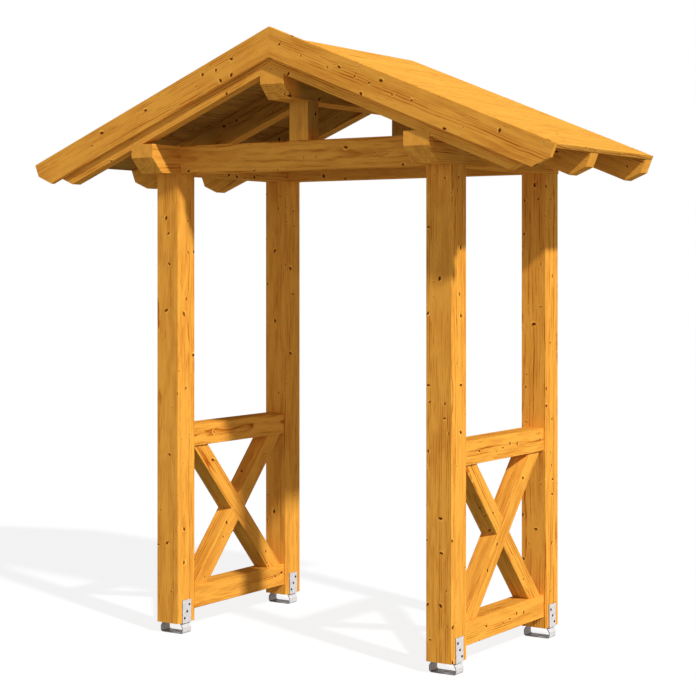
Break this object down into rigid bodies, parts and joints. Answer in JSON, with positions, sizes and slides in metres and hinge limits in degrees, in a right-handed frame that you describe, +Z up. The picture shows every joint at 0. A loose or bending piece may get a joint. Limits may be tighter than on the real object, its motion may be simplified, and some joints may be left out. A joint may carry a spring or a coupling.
{
  "type": "roofed garden arch",
  "caption": "Free-standing timber walk-through arch with a pitched board roof on posts, braced side panels and bent steel strap feet.",
  "frame": {"origin": "on the ground, under the middle of the roof's outline", "axes": "+X to the right seen from the front, +Y from the bargeboard front to the rear, +Z up"},
  "size_m": [2.67, 1.155, 2.6651],
  "materials": {
    "stained_wood": "satin honey stain on spruce with knots",
    "galvanised_steel": "hot-dip galvanised, matt"
  },
  "bodies": {
    "root": {"left_front_post": "stained_wood", "left_front_foot": "galvanised_steel", "left_rear_post": "stained_wood", "left_rear_foot": "galvanised_steel", "left_lower_rail": "stained_wood", "left_upper_rail": "stained_wood", "left_rising_brace": "stained_wood", "left_falling_brace": "stained_wood", "left_purlin": "stained_wood", "left_front_rafter": "stained_wood", "left_middle_rafter": "stained_wood", "left_rear_rafter": "stained_wood", "left_roof_deck": "stained_wood", "left_bargeboard": "stained_wood", "right_front_post": "stained_wood", "right_front_foot": "galvanised_steel", "right_rear_post": "stained_wood", "right_rear_foot": "galvanised_steel", "right_lower_rail": "stained_wood", "right_upper_rail": "stained_wood", "right_rising_brace": "stained_wood", "right_falling_brace": "stained_wood", "right_purlin": "stained_wood", "right_front_rafter": "stained_wood", "right_middle_rafter": "stained_wood", "right_rear_rafter": "stained_wood", "right_roof_deck": "stained_wood", "right_bargeboard": "stained_wood", "ridge_purlin": "stained_wood", "front_tie_beam": "stained_wood", "rear_tie_beam": "stained_wood", "front_king_post": "stained_wood", "rear_king_post": "stained_wood"}
  },
  "joints": []
}
